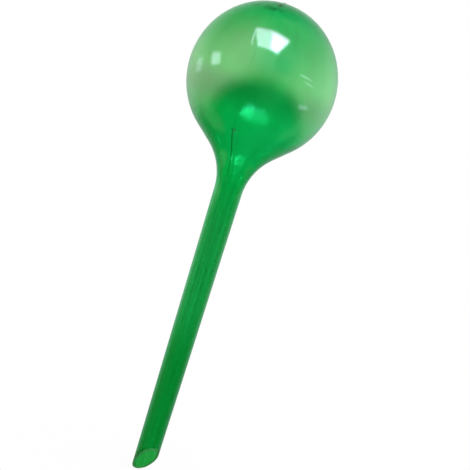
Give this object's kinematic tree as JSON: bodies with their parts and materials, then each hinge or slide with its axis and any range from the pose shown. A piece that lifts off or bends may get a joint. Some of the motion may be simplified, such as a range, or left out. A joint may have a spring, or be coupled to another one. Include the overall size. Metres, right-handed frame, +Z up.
{
  "type": "watering globe",
  "caption": "Clear green plastic globe with a hollow bulb, flared neck and slim obliquely cut stem that feeds water into potting soil.",
  "frame": {"origin": "the lowest point of the stem's tip, on the stem's axis", "axes": "+Z up the stem towards the bulb, parting plane at X = 0, front weld on the -Y side"},
  "size_m": [0.08, 0.08, 0.2744],
  "materials": {
    "clear_green_wall": "clear green blown plastic, glossy, with faint drawing streaks along the stem",
    "clear_green_weld": "the same clear green plastic, deeper where the pinched wall is thick"
  },
  "bodies": {
    "root": {"left_half_wall": "clear_green_wall", "right_half_wall": "clear_green_wall", "front_pinch_weld": "clear_green_weld", "rear_pinch_weld": "clear_green_weld", "crown_pinch_weld": "clear_green_weld"}
  },
  "joints": []
}
